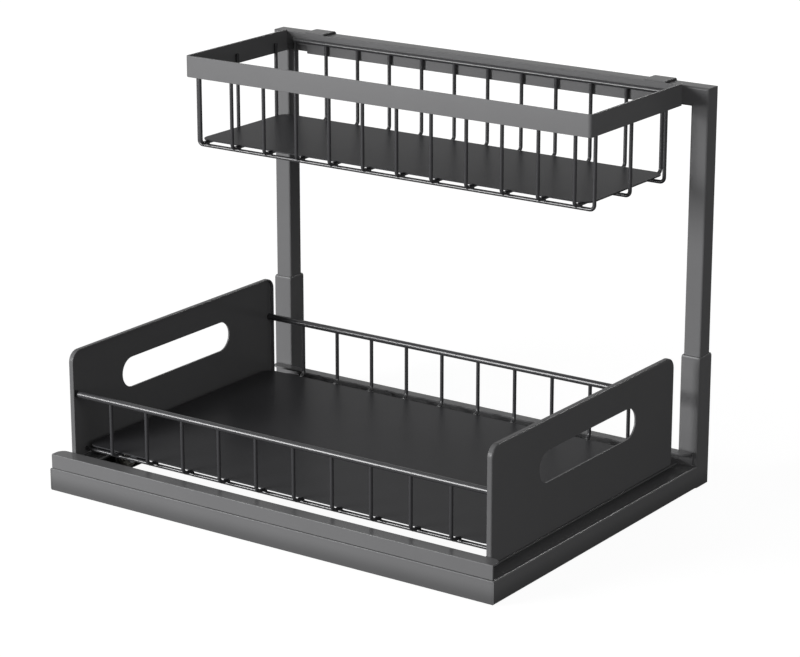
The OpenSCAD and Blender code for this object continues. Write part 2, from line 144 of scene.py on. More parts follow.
def powder_paint(name, dark, light, roughness, shine, painted_shade=None):
    """Satin powder coat: two close shades, orange peel and a little shine. Its last argument
    darkens the colour towards the floor: painted shade for the dimmer light low down."""
    material, tree = empty_material(name)
    place = add_node(tree, "ShaderNodeTexCoord").outputs["Object"]
    drift = add_node(tree, "ShaderNodeTexNoise", Vector=place, Scale=1 / TONE_DRIFT,
                     Detail=3.0, Roughness=0.6)
    tone = add_node(tree, "ShaderNodeMix", {"data_type": "RGBA"},
                    n0=drift.outputs["Fac"], n6=paint_chip(dark), n7=paint_chip(light)).outputs[2]
    # Painted shade: the colour is scaled down towards the floor, darkest at the floor
    if painted_shade:
        height = add_node(tree, "ShaderNodeSeparateXYZ", Vector=place).outputs["Z"]
        painted_shade_factor = add_node(tree, "ShaderNodeMapRange", {"interpolation_type": "SMOOTHSTEP"},
                         Value=height, From_Min=PAINTED_SHADE_LOW, From_Max=PAINTED_SHADE_HIGH, To_Min=painted_shade,
                         To_Max=1.0).outputs["Result"]
        tone = add_node(tree, "ShaderNodeVectorMath", {"operation": "SCALE"}, n0=tone,
                        Scale=painted_shade_factor).outputs["Vector"]
    wave = add_node(tree, "ShaderNodeTexNoise", Vector=place, Scale=1 / PEEL_WAVE, Detail=1.0)
    grain = add_node(tree, "ShaderNodeTexNoise", Vector=place, Scale=1 / PEEL_GRAIN, Detail=2.0)
    waves = add_node(tree, "ShaderNodeBump", Height=wave.outputs["Fac"], Strength=0.10,
                     Distance=0.05 * MM)
    peel = add_node(tree, "ShaderNodeBump", Height=grain.outputs["Fac"], Strength=0.12,
                    Distance=0.02 * MM, Normal=waves.outputs["Normal"])
    gloss = add_node(tree, "ShaderNodeMapRange", Value=grain.outputs["Fac"], To_Min=roughness
                     - 0.03, To_Max=roughness + 0.03)
    shader = add_node(tree, "ShaderNodeBsdfPrincipled", Base_Color=tone,
                      Roughness=gloss.outputs["Result"], Normal=peel.outputs["Normal"],
                      Specular_IOR_Level=shine)
    add_node(tree, "ShaderNodeOutputMaterial", Surface=shader.outputs["BSDF"])
    return material


PAINTS = {
    # The frame paint carries painted shade, down to 0.62 of its colour at the floor
    "frame_paint": powder_paint("Powder-coated steel, frame", "#6b6b6c", "#727273", 0.25, 0.15,
                                painted_shade=0.62),
    "panel_paint": powder_paint("Powder-coated steel, panels", "#626263", "#686869", 0.2, 0.09),
    "wire_paint": powder_paint("Powder-coated steel, wire", "#38383a", "#3e3e40", 0.26, 0.5),
    "floor_paint": powder_paint("Powder-coated steel, floors", "#353537", "#3a3a3c", 0.36, 0.05),
}
print("paints:", sorted(PAINTS))

# %% [markdown]
# ## Zinc, nylon and rubber
# The roller pins are zinc-plated steel: a soft metal shine with a cloudy roughness. The rollers
# are moulded nylon, off-white and slightly waxy. The foot pads are black rubber, matt and grainy.
# %% Make the other finishes
CLOUD = 3.0 * MM
MOULD_GRAIN = 0.5 * MM


def plain_finish(name, dark, light, roughness, grain, metallic=0.0, depth=0.01 * MM):
    """A finish of two shades and one grain size, in millimetres of the real surface."""
    material, tree = empty_material(name)
    place = add_node(tree, "ShaderNodeTexCoord").outputs["Object"]
    cloud = add_node(tree, "ShaderNodeTexNoise", Vector=place, Scale=1 / grain, Detail=3.0)
    tone = add_node(tree, "ShaderNodeMix", {"data_type": "RGBA"},
                    n0=cloud.outputs["Fac"], n6=paint_chip(dark), n7=paint_chip(light))
    gloss = add_node(tree, "ShaderNodeMapRange", Value=cloud.outputs["Fac"],
                     To_Min=roughness - 0.06, To_Max=roughness + 0.06)
    relief = add_node(tree, "ShaderNodeBump", Height=cloud.outputs["Fac"], Strength=0.2,
                      Distance=depth)
    shader = add_node(tree, "ShaderNodeBsdfPrincipled", Base_Color=tone.outputs[2],
                      Roughness=gloss.outputs["Result"], Normal=relief.outputs["Normal"],
                      Metallic=metallic)
    add_node(tree, "ShaderNodeOutputMaterial", Surface=shader.outputs["BSDF"])
    return material


FINISHES = dict(
    PAINTS,
    pin_zinc=plain_finish("Zinc-plated steel", "#a9adb2", "#c3c6ca", 0.34, CLOUD, metallic=1.0),
    roller_nylon=plain_finish("Moulded nylon", "#dedcd2", "#e6e4da", 0.42, MOULD_GRAIN),
    pad_rubber=plain_finish("Black rubber", "#1b1b1c", "#222223", 0.8, MOULD_GRAIN),
)
print("finishes:", sorted(FINISHES))

# %% [markdown]
# ## Helpers for sheet metal
# Nearly all of this object is folded sheet. No fold is quite sharp: its outside has a radius,
# often of about the sheet's thickness, and it is this radius that catches the light as a bright
# line. So a folded piece is drawn as a line of corners, each
# corner becomes an arc, and the line is given the sheet's thickness on one side and a length
# across. Cut edges get a tiny bevel, and normals weighted by area keep the flats flat.
# %% Bend, thicken and plate helpers
ARC_STEPS = 6


def left_of(a, b):
    """Unit normal on the left of the way from a to b."""
    along = (b - a).normalized()
    return Vector((-along.y, along.x))


def bend_at(a, b, c, radius, steps=ARC_STEPS):
    """Points and left normals of the arc that rounds corner b."""
    start, finish = left_of(a, b), left_of(b, c)
    turn = math.atan2(start.x * finish.y - start.y * finish.x, start.dot(finish))
    if radius <= 0 or abs(turn) < 1e-6:
        return [(b, start), (b, finish)] if abs(turn) > 1e-6 else [(b, start)]
    side = math.copysign(1.0, turn)
    first = b - (b - a).normalized() * radius * math.tan(abs(turn) / 2)
    centre = first + start * side * radius
    arc = []
    for k in range(steps + 1):
        angle = turn * k / steps
        normal = Vector((start.x * math.cos(angle) - start.y * math.sin(angle),
                         start.x * math.sin(angle) + start.y * math.cos(angle)))
        arc.append((centre - normal * side * radius, normal))
    return arc


def folded_line(corners, radius, tight=0.0):
    """An open line through the corners, every inner corner folded to the radius. For a fold
    that is tighter than the sheet, tight is the thickness: its inside is a sharp corner."""
    corners = [Vector(c) for c in corners]
    line = [(corners[0], left_of(corners[0], corners[1]))]
    for a, b, c in zip(corners, corners[1:], corners[2:]):
        arc = bend_at(a, b, c, radius)
        if tight:
            inside = b + (left_of(a, b) + left_of(b, c)) * tight
            arc = [(point, (inside - point) / tight) for point, _ in arc]
        line += arc
    return line + [(corners[-1], left_of(corners[-2], corners[-1]))]


def rounded_loop(corners, radii, steps=ARC_STEPS):
    """A closed outline, anticlockwise, with its own radius at each corner."""
    corners = [Vector(c) for c in corners]
    count = len(corners)
    loop = []
    for i, radius in enumerate(radii):
        arc = bend_at(corners[i - 1], corners[i], corners[(i + 1) % count], max(radius, 0.02),
                      steps)
        loop += [point for point, _ in arc]
    return loop


def box_corners(low, high):
    """The four corners of a rectangle, anticlockwise from the low one."""
    return [(low[0], low[1]), (high[0], low[1]), (high[0], high[1]), (low[0], high[1])]


def across_x(u, v, w):
    return (w, u, v)


def across_y(u, v, w):
    return (u, w, v)


def across_z(u, v, w):
    return (u, v, w)


def finish_piece(name, bm, edge=0.0):
    """Turns millimetres into metres, points the faces outwards, and softens the cut edges."""
    bmesh.ops.scale(bm, vec=(MM, MM, MM), verts=bm.verts)
    bmesh.ops.remove_doubles(bm, verts=bm.verts, dist=0.002 * MM)
    bmesh.ops.recalc_face_normals(bm, faces=bm.faces)
    mesh = bpy.data.meshes.new(name)
    bm.to_mesh(mesh)
    bm.free()
    mesh.shade_smooth()
    piece = bpy.data.objects.new(name, mesh)
    scene.collection.objects.link(piece)
    if edge:
        cut = piece.modifiers.new("Cut edges", "BEVEL")
        cut.width, cut.segments = edge * MM, 2
        cut.limit_method, cut.angle_limit = "ANGLE", math.radians(40)
    flats = piece.modifiers.new("Flat faces", "WEIGHTED_NORMAL")
    flats.weight = 90
    return piece


def folded_sheet(name, line, thickness, ends, across, edge=0.2):
    """A sheet that follows a folded line. ends gives where it starts and stops at a point."""
    bm = bmesh.new()
    rows = []
    for point, normal in line:
        low, high = ends(point.x, point.y) if callable(ends) else ends
        inner = point + normal * thickness
        rows.append([bm.verts.new(across(p.x, p.y, w)) for p in (point, inner)
                     for w in (low, high)])
    for a, b in zip(rows, rows[1:]):
        for i, j in ((0, 1), (1, 3), (3, 2), (2, 0)):
            bm.faces.new((a[i], a[j], b[j], b[i]))
    for row in (rows[0], rows[-1]):
        bm.faces.new((row[0], row[1], row[3], row[2]))
    return finish_piece(name, bm, edge)


def fill_between(bm, loops):
    """Fills a flat outline, with the other loops left open as holes."""
    edges = [bm.edges.get(pair) or bm.edges.new(pair)
             for loop in loops for pair in zip(loop, loop[1:] + loop[:1])]
    bmesh.ops.triangle_fill(bm, use_beauty=True, use_dissolve=False, edges=edges)


def wall_between(bm, first, second):
    """A strip of faces between two loops with the same number of points."""
    for i in range(len(first)):
        j = (i + 1) % len(first)
        bm.faces.new((first[i], first[j], second[j], second[i]))


def flat_plate(name, outline, low, high, across, edge):
    """A flat plate between low and high."""
    bm = bmesh.new()
    levels = [[bm.verts.new(across(p.x, p.y, w)) for p in outline] for w in (low, high)]
    for level in levels:
        bm.faces.new(level)
    wall_between(bm, *levels)
    return finish_piece(name, bm, edge)


def place_piece(piece, body, slot, *nodes):
    """Gives a finished piece its paint, its body and the nodes that it stands for."""
    piece.data.materials.clear()
    piece.data.materials.append(FINISHES[slot])
    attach(piece, body)
    if nodes:
        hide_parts(*nodes)
    print(piece.name, "rides on", body, "for", ", ".join(nodes) or "no node")
    return piece


# %% [markdown]
# ## Sizes
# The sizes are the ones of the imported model, in millimetres. The origin is on the floor in the
# middle of the footprint, X runs to the right and the front faces -Y.
# %% Sizes that several pieces share
SHEET = 1.2
PAD = 0.8
BASE_TOP = 16.6
HALF_WIDTH, HALF_DEPTH = 180.0, 135.0
RAIL_INNER = 163.0
RAIL_REAR = 118.4
BAR_REAR = -118.0
WALL_INNER = HALF_WIDTH - SHEET
SIDES = (("left", -1), ("right", 1))
WELD_LAP = 1.2  # how far the rails run into the rounded edge of the sockets
FOLD, EDGE_FOLD = 1.3, 0.5  # outside radius of the rails' folds, and of the crisp front ones

# %% [markdown]
# ## Base frame
# The side rails are channels that open towards the middle, and the front bar is a channel that
# opens to the back and fits between the rails' outer walls. Both are one folded line each:
# bottom flange, wall, top flange. The rails' outer walls run past the front bar, so the bar's
# ends are hidden and only the wall's thin cut edge shows at the corner.
# %% Fold the side rails


def mirrored(line, side):
    """A line in X and another axis, flipped to the left; the sheet stays on its inside."""
    if side > 0:
        return line
    return [(Vector((-p.x, p.y)), Vector((-n.x, n.y))) for p, n in line]


for word, side in SIDES:
    channel = folded_line([(RAIL_INNER, PAD), (HALF_WIDTH, PAD), (HALF_WIDTH, BASE_TOP),
                           (RAIL_INNER, BASE_TOP)], FOLD)

    def rail_ends(x, z):
        # Only the outer wall runs on to the front; the flanges stop behind the front bar
        return (-HALF_DEPTH if abs(x) > WALL_INNER else BAR_REAR, RAIL_REAR + WELD_LAP)

    rail = folded_sheet(f"side_rail_{word}", mirrored(channel, side), SHEET, rail_ends, across_y)
    place_piece(rail, "base", "frame_paint", f"base_rail_{word}")

# %% Fold the front bar
bar_line = folded_line([(BAR_REAR, BASE_TOP), (-HALF_DEPTH, BASE_TOP), (-HALF_DEPTH, PAD),
                        (BAR_REAR, PAD)], EDGE_FOLD, SHEET)
front_bar = folded_sheet("front_bar", bar_line, SHEET, (-WALL_INNER, WALL_INNER), across_x)
place_piece(front_bar, "base", "frame_paint", "base_front_bar")

# %% [markdown]
# ## Softened copies of small CAD parts
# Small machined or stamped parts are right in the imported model, but their edges are perfectly
# sharp, which no real edge is. A copy of the node's mesh is merged into a closed mesh, its flat
# faces are joined, and the edges get a narrow bevel. The copy then stands for the node.
# %% Copy and soften the hidden parts


def softened(node, edge):
    """A closed copy of a CAD node with bevelled edges."""
    bm = bmesh.new()
    bm.from_mesh(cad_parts[node].data)
    bmesh.ops.remove_doubles(bm, verts=bm.verts, dist=0.001 * MM)
    bmesh.ops.dissolve_limit(bm, angle_limit=math.radians(0.5), verts=bm.verts, edges=bm.edges)
    bmesh.ops.scale(bm, vec=(1 / MM, 1 / MM, 1 / MM), verts=bm.verts)
    piece = finish_piece(node + "_soft", bm, edge)
    if "custom_normal" in piece.data.attributes:
        piece.data.attributes.remove(piece.data.attributes["custom_normal"])
    return piece


SMALL_PARTS = (
    ("base_rear_bar", "base", "frame_paint", 0.3),
    ("foot_pads", "base", "pad_rubber", 0.2),
    ("roller_bracket_left", "base", "frame_paint", 0.2),
    ("roller_bracket_right", "base", "frame_paint", 0.2),
    ("front_roller_pins", "base", "pin_zinc", 0.25),
    ("rear_roller_pins", "tray", "pin_zinc", 0.25),
    ("tray_side_left", "tray", "panel_paint", 0.2),
    ("tray_side_right", "tray", "panel_paint", 0.2),
    ("tray_cross_sheet", "tray", "panel_paint", 0.2),
)
for node, body, slot, edge in SMALL_PARTS:
    place_piece(softened(node, edge), body, slot, node)

# %% [markdown]
# ## Rollers
# Each roller is turned in the modeller's sense: a profile goes once round the pin. The faces are
# relieved between the hub and the tread, as on a moulded roller, and the tread's corners are
# rounded so that they ride over a speck of dirt.
# %% Turn the rollers
ROLLER_RADIUS = 6.4
BORE_RADIUS = 2.05
HUB_RADIUS, TREAD_INNER, RELIEF_SLOPE = 3.3, 5.3, 0.3  # the hollow ring in each face
RELIEF, CORNER, CORNER_STEP = 0.6, 0.7, 0.2
ROUND_STEPS = 48


def turned_roller(name, node):
    low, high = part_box(node)
    middle = (low + high) / 2 / MM
    half = (high.x - low.x) / 2 / MM
    side_profile = [(half, BORE_RADIUS + CORNER_STEP), (half, HUB_RADIUS),
                    (half - RELIEF, HUB_RADIUS + RELIEF_SLOPE),
                    (half - RELIEF, TREAD_INNER - RELIEF_SLOPE), (half, TREAD_INNER),
                    (half, ROLLER_RADIUS - CORNER),
                    (half - CORNER_STEP, ROLLER_RADIUS - CORNER_STEP),
                    (half - CORNER, ROLLER_RADIUS)]
    profile = ([(half - CORNER_STEP, BORE_RADIUS)] + side_profile
               + [(-x, r) for x, r in reversed(side_profile)]
               + [(CORNER_STEP - half, BORE_RADIUS)])
    bm = bmesh.new()
    rings = []
    for x, r in profile:
        rings.append([bm.verts.new((middle.x + x,
                                    middle.y + r * math.cos(2 * math.pi * k / ROUND_STEPS),
                                    middle.z + r * math.sin(2 * math.pi * k / ROUND_STEPS)))
                      for k in range(ROUND_STEPS)])
    for first, second in zip(rings, rings[1:] + rings[:1]):
        wall_between(bm, first, second)
    piece = finish_piece(name, bm)
    piece.data.set_sharp_from_angle(angle=math.radians(40))
    piece.modifiers["Flat faces"].keep_sharp = True
    return piece


for end in ("front", "rear"):
    for word, _ in SIDES:
        node = f"{end}_roller_{word}"
        place_piece(turned_roller(node + "_turned", node), f"{end}_wheel_{word}",
                    "roller_nylon", node)

# %% [markdown]
# ## Ledges
# The front ledge belongs to the drawer: a skirt that stands just above the base's front, folded
# back into a shelf with round rear corners. The rear ledge belongs to the base: a web on the
# rear bar, folded forward, with round front corners. The round corners are made by letting the
# sheet's ends draw in along a quarter circle, for which the line needs more points there.
# %% Fold the two ledges
SKIRT_FRONT, SKIRT_BOTTOM, SKIRT_HALF = -134.5, 17.0, 178.7
LEDGE_TOP, LEDGE_REAR = 26.7, -124.0
REAR_LEDGE_TOP, REAR_LEDGE_FRONT, REAR_LEDGE_HALF = 26.6, 109.4, 177.0
LEDGE_RADIUS = 5.5  # of the round corners, seen from above
REAR_LEDGE_FOLD = 1.6
LEDGE_CUT = 0.15  # bevel of the ledges' cut edges


def with_quarter(line, start, end, steps=8):
    """Puts more points, crowded towards the end, on the last straight stretch of a line."""
    (_, normal), (last, _) = line[-2], line[-1]
    extra = []
    for k in range(steps):
        share = math.sin(math.pi / 2 * k / steps)
        extra.append((Vector((start + (end - start) * share, last.y)), normal))
    return line[:-1] + extra + line[-1:]


def drawn_in(y, start, radius, half, direction):
    """Half width at y, where the corner's quarter circle begins at start."""
    past = min(max((y - start) * direction, 0.0), radius)
    inset = radius - math.sqrt(max(radius ** 2 - past ** 2, 0.0))
    return (-half + inset, half - inset)


arc_start = LEDGE_REAR - LEDGE_RADIUS
ledge_line = folded_line([(LEDGE_REAR, LEDGE_TOP), (SKIRT_FRONT, LEDGE_TOP),
                          (SKIRT_FRONT, SKIRT_BOTTOM)], EDGE_FOLD, SHEET)
ledge_line = [(p, n) for p, n in reversed(ledge_line)]
ledge_line = with_quarter(ledge_line, arc_start, LEDGE_REAR)
ledge = folded_sheet("drawer_ledge", ledge_line, SHEET,
                     lambda y, z: drawn_in(y, arc_start, LEDGE_RADIUS, SKIRT_HALF, 1), across_x,
                     edge=LEDGE_CUT)
place_piece(ledge, "tray", "frame_paint", "tray_front_bar")

rear_start = REAR_LEDGE_FRONT + LEDGE_RADIUS
web_line = folded_line([(RAIL_REAR, BASE_TOP), (RAIL_REAR, REAR_LEDGE_TOP),
                        (REAR_LEDGE_FRONT, REAR_LEDGE_TOP)], REAR_LEDGE_FOLD)
web_line = with_quarter(web_line, rear_start, REAR_LEDGE_FRONT)
rear_ledge = folded_sheet("rear_shelf", web_line, SHEET,
                          lambda y, z: drawn_in(y, rear_start, LEDGE_RADIUS, REAR_LEDGE_HALF,
                                                -1), across_x, edge=LEDGE_CUT)
place_piece(rear_ledge, "base", "frame_paint", "rear_ledge")

# %% [markdown]
# ## Sockets
# Each socket is a square tube welded to the corner of the base. Its long edges are round, and
# its mouth is drawn in a little. The bore goes down to the stop that the upright stands on.
# %% Draw the sockets
POST_X, POST_Y = 172.5, 126.7
SLEEVE_HALF = (7.5, 8.3)
SLEEVE_TOP, SOCKET_FLOOR, SOCKET_HALF = 94.0, 20.0, 6.7
SLEEVE_CORNER, SOCKET_CORNER = 1.2, 1.0
# (height, inset) up the outside: straight, then drawn in to the mouth
SLEEVE_LEVELS = ((PAD, 0.0), (SLEEVE_TOP - 1.6, 0.0), (SLEEVE_TOP - 0.5, 0.25),
                 (SLEEVE_TOP, 0.5))


def square_ring(bm, half, radius, z, x=0.0, y=0.0, tilt=0.0):
    """A ring of vertices round a rounded square; tilt raises it along X for a mitre."""
    loop = rounded_loop(box_corners((-half[0], -half[1]), half), [radius] * 4, 5)
    return [bm.verts.new((x + p.x, y + p.y, z + tilt * p.x)) for p in loop]


for word, side in SIDES:
    bm = bmesh.new()
    levels = []
    for z, inset in SLEEVE_LEVELS:
        levels.append(square_ring(bm, (SLEEVE_HALF[0] - inset, SLEEVE_HALF[1] - inset),
                                  SLEEVE_CORNER, z, side * POST_X, POST_Y))
    for z in (SLEEVE_TOP, SOCKET_FLOOR):
        levels.append(square_ring(bm, (SOCKET_HALF, SOCKET_HALF), SOCKET_CORNER, z,
                                  side * POST_X, POST_Y))
    for first, second in zip(levels, levels[1:]):
        wall_between(bm, first, second)
    bm.faces.new(levels[0])
    bm.faces.new(levels[-1])
    sleeve = finish_piece(f"socket_{word}", bm, 0.15)
    place_piece(sleeve, "base", "frame_paint", f"post_sleeve_{word}")

# %% [markdown]
# ## Uprights and crossbar
# The inverted U is square tube with round edges, cut at 45 degrees and welded at the two upper
# corners. Each piece is a rounded square carried along its length, with its end ring tilted to
# the mitre. The weld has been ground, so the joint is only a hairline.
# %% Draw the inverted U
TUBE_HALF, TUBE_WALL, TUBE_CORNER, TUBE_INNER_CORNER = 6.6, 1.2, 1.5, 0.6
FRAME_TOP, POST_FOOT = 278.5, 20.3
BAR_Z = FRAME_TOP - TUBE_HALF


def tube_piece(name, rings, flip):
    """A hollow square tube through rings of (station, tilt), standing or lying."""
    bm = bmesh.new()
    skins = []
    for half, radius in ((TUBE_HALF, TUBE_CORNER), (TUBE_HALF - TUBE_WALL, TUBE_INNER_CORNER)):
        skins.append([square_ring(bm, (half, half), radius, z, tilt=tilt) for z, tilt in rings])
    for skin in skins:
        for first, second in zip(skin, skin[1:]):
            wall_between(bm, first, second)
    for end in (0, -1):
        wall_between(bm, skins[0][end], skins[1][end])
    bmesh.ops.transform(bm, matrix=flip, verts=bm.verts)
    return finish_piece(name, bm, 0.12)


for word, side in SIDES:
    stand = Matrix.Translation((side * POST_X, POST_Y, 0))
    upright = tube_piece(f"leg_{word}", [(POST_FOOT, 0.0), (BAR_Z, side)], stand)
    place_piece(upright, "rear_frame", "frame_paint", f"upright_{word}")

# The crossbar's own length runs along X: its Z becomes X and its X becomes -Z
lay_down = Matrix.Translation((0, POST_Y, BAR_Z)) @ Matrix.Rotation(math.pi / 2, 4, "Y")
crossbar = tube_piece("top_bar", [(-POST_X, 1.0), (POST_X, -1.0)], lay_down)
place_piece(crossbar, "rear_frame", "frame_paint", "crossbar")

# %% [markdown]
# ## Side panels
# A panel is one pressing: a flat sheet whose whole edge is turned inwards by 4 mm, with round
# upper corners and a hand slot. It is built as rings. Each ring is the panel's outline, drawn in
# by some amount and at some depth, and together they go over the fold, down the turned edge,
# round its cut edge and back to the inner face. The two faces are filled round the slot.
# %% Press the side panels
PANEL_LOW, PANEL_HIGH = (-123.4, 21.0), (100.0, 98.5)
PANEL_OUTER, PANEL_EDGE = 170.6, 4.0
PANEL_RADIUS, PANEL_FOOT_RADIUS = 8.0, 2.6
PANEL_FOLD, INNER_FOLD, CUT_ROUND, CUT_STEP = 1.2, 0.8, 0.5, 0.2
SLOT_MIDDLE, SLOT_HALF = (-9.5, 67.3), (59.5, 10.75)


def panel_outline(inset):
    low = (PANEL_LOW[0] + inset, PANEL_LOW[1] + inset)
    high = (PANEL_HIGH[0] - inset, PANEL_HIGH[1] - inset)
    foot, top = PANEL_FOOT_RADIUS - inset, PANEL_RADIUS - inset
    return rounded_loop(box_corners(low, high), [foot, foot, top, top])


def panel_rings():
    """(inset, depth) of each ring, from the outer face round the edge to the inner face."""
    turns = [math.pi / 2 * k / ARC_STEPS for k in range(ARC_STEPS + 1)]
    fold = [(PANEL_FOLD * (1 - math.sin(a)), PANEL_FOLD * (1 - math.cos(a))) for a in turns]
    cut = [(CUT_ROUND * (1 - math.cos(a)), PANEL_EDGE - CUT_ROUND * (1 - math.sin(a)))
           for a in turns]
    inside = [(SHEET + INNER_FOLD * (1 - math.cos(a)), SHEET + INNER_FOLD * (1 - math.sin(a)))
              for a in turns]
    return fold + cut + [(SHEET - CUT_STEP, PANEL_EDGE), (SHEET, PANEL_EDGE - CUT_STEP)] + inside


slot_outline = rounded_loop(
    box_corners((SLOT_MIDDLE[0] - SLOT_HALF[0], SLOT_MIDDLE[1] - SLOT_HALF[1]),
                (SLOT_MIDDLE[0] + SLOT_HALF[0], SLOT_MIDDLE[1] + SLOT_HALF[1])),
    [SLOT_HALF[1] - 0.1] * 4, 12)

for word, side in SIDES:
    bm = bmesh.new()
    loops = [[bm.verts.new((side * (PANEL_OUTER - depth), p.x, p.y)) for p in panel_outline(inset)]
             for inset, depth in panel_rings()]
    slots = [[bm.verts.new((side * (PANEL_OUTER - depth), p.x, p.y)) for p in slot_outline]
             for depth in (0.0, SHEET)]
    for first, second in zip(loops, loops[1:]):
        wall_between(bm, first, second)
    fill_between(bm, [loops[0], slots[0]])
    fill_between(bm, [loops[-1], slots[1]])
    wall_between(bm, slots[0], slots[1])
    panel = finish_piece(f"panel_{word}", bm, 0.25)
    place_piece(panel, "tray", "panel_paint", f"side_panel_{word}")

# %% [markdown]
# ## Rods
# The drawer's front and rear rails, the two rods under its wires and the basket's rear wire are
# straight round bars. Each is a smooth cylinder with a small chamfer at its ends.
# %% Cut the rods


def round_bar(name, x0, x1, y, z, diameter, chamfer=0.3):
    bm = bmesh.new()
    radius = diameter / 2
    rings = []
    for x, r in ((x0, radius - chamfer), (x0 + chamfer, radius), (x1 - chamfer, radius),
                 (x1, radius - chamfer)):
        rings.append([bm.verts.new((x, y + r * math.cos(2 * math.pi * k / ROUND_STEPS),
                                    z + r * math.sin(2 * math.pi * k / ROUND_STEPS)))
                      for k in range(ROUND_STEPS)])
    for first, second in zip(rings, rings[1:]):
        wall_between(bm, first, second)
    bm.faces.new(rings[0])
    bm.faces.new(rings[-1])
    piece = finish_piece(name, bm)
    piece.data.set_sharp_from_angle(angle=math.radians(30))
    piece.modifiers["Flat faces"].keep_sharp = True
    return piece


RAIL_WIRE, THIN_WIRE, TOP_WIRE = 4.6, 2.6, 3.2
TRAY_FRONT_Y, TRAY_REAR_Y = -119.0, 97.0
FRONT_RAIL_Z, REAR_RAIL_Z = 67.7, 68.8
TRAY_WIRE_Z = 28.5
FOOT_WIRE_IN = 9.4  # the two rods under the wires stand this far inside the rails
PANEL_INNER = PANEL_OUTER - SHEET
RODS = (
    ("front_rail", "tray_front_rail", TRAY_FRONT_Y, FRONT_RAIL_Z, RAIL_WIRE),
    ("rear_rail", "tray_rear_rail", TRAY_REAR_Y, REAR_RAIL_Z, RAIL_WIRE),
    ("foot_wire_front", "tray_foot_wire_front", TRAY_FRONT_Y + FOOT_WIRE_IN,
     TRAY_WIRE_Z - THIN_WIRE, THIN_WIRE),
    ("foot_wire_rear", "tray_foot_wire_rear", TRAY_REAR_Y - FOOT_WIRE_IN,
     TRAY_WIRE_Z - THIN_WIRE, THIN_WIRE),
)
for name, node, y, z, diameter in RODS:
    place_piece(round_bar(name, -PANEL_INNER, PANEL_INNER, y, z, diameter), "tray",
                "wire_paint", node)

# %% [markdown]
# ## Bent wires
# The thin wires repeat along a row, and every wire is the same open path: down, across and up,
# with two round bends. That is a rule, so a Geometry Nodes tree makes them: four corner points
# become a curve, Fillet Curve bends it, Curve to Mesh gives it the wire's diameter, and one
# instance stands at each step of the row. The tree ends in real geometry with its material.
# %% Build the wire tree


def new_tree(name, sockets):
    """An empty geometry tree with these inputs, and its two ends."""
    tree = bpy.data.node_groups.new(name, "GeometryNodeTree")
    tree.interface.new_socket("Geometry", in_out="INPUT", socket_type="NodeSocketGeometry")
    for socket, kind in sockets:
        tree.interface.new_socket(socket, in_out="INPUT", socket_type="NodeSocket" + kind)
    tree.interface.new_socket("Geometry", in_out="OUTPUT", socket_type="NodeSocketGeometry")
    return tree, add_node(tree, "NodeGroupInput").outputs


WIRE_INPUTS = (("Top A", "Vector"), ("Foot A", "Vector"), ("Foot B", "Vector"),
               ("Top B", "Vector"), ("Bend Radius", "Float"), ("Wire Radius", "Float"),
               ("Count", "Int"), ("Step", "Vector"), ("Paint", "Material"))
wire_tree, given = new_tree("Row of bent wires", WIRE_INPUTS)
corners = add_node(wire_tree, "GeometryNodeCurvePrimitiveQuadrilateral", {"mode": "POINTS"},
                   Point_1=given["Top A"], Point_2=given["Foot A"], Point_3=given["Foot B"],
                   Point_4=given["Top B"])
opened = add_node(wire_tree, "GeometryNodeSetSplineCyclic", Geometry=corners.outputs["Curve"],
                  Cyclic=False)
bent = add_node(wire_tree, "GeometryNodeFilletCurve", {"mode": "POLY"},
                Curve=opened.outputs["Geometry"], Count=7, Radius=given["Bend Radius"],
                Limit_Radius=True)
section = add_node(wire_tree, "GeometryNodeCurvePrimitiveCircle", Resolution=20,
                   Radius=given["Wire Radius"])
wire = add_node(wire_tree, "GeometryNodeCurveToMesh", Curve=bent.outputs["Curve"],
                Profile_Curve=section.outputs["Curve"], Fill_Caps=True)
row = add_node(wire_tree, "GeometryNodeMeshLine", Count=given["Count"], Offset=given["Step"])
stood = add_node(wire_tree, "GeometryNodeInstanceOnPoints", Points=row.outputs["Mesh"],
                 Instance=wire.outputs["Mesh"])
real = add_node(wire_tree, "GeometryNodeRealizeInstances", Geometry=stood.outputs["Instances"])
painted = add_node(wire_tree, "GeometryNodeSetMaterial", Geometry=real.outputs["Geometry"],
                   Material=given["Paint"])
add_node(wire_tree, "NodeGroupOutput", Geometry=painted.outputs["Geometry"])


def grown(name, tree, **values):
    """Runs a tree on an empty mesh and keeps the result as a plain, closed mesh."""
    host = bpy.data.objects.new(name, bpy.data.meshes.new(name))
    scene.collection.objects.link(host)
    modifier = host.modifiers.new("Grow", "NODES")
    modifier.node_group = tree
    identifiers = {item.name: item.identifier for item in tree.interface.items_tree
                   if item.item_type == "SOCKET" and item.in_out == "INPUT"}
    for socket, value in values.items():
        modifier[identifiers[socket.replace("_", " ")]] = value
    bpy.context.view_layer.update()
    evaluated = host.evaluated_get(bpy.context.evaluated_depsgraph_get())
    mesh = bpy.data.meshes.new_from_object(evaluated)
    host.modifiers.remove(modifier)
    host.data = mesh
    mesh.shade_smooth()
    mesh.set_sharp_from_angle(angle=math.radians(50))
    print(name, "has", len(mesh.polygons), "faces")
    return host


def metres(*numbers):
    return [n * MM for n in numbers]


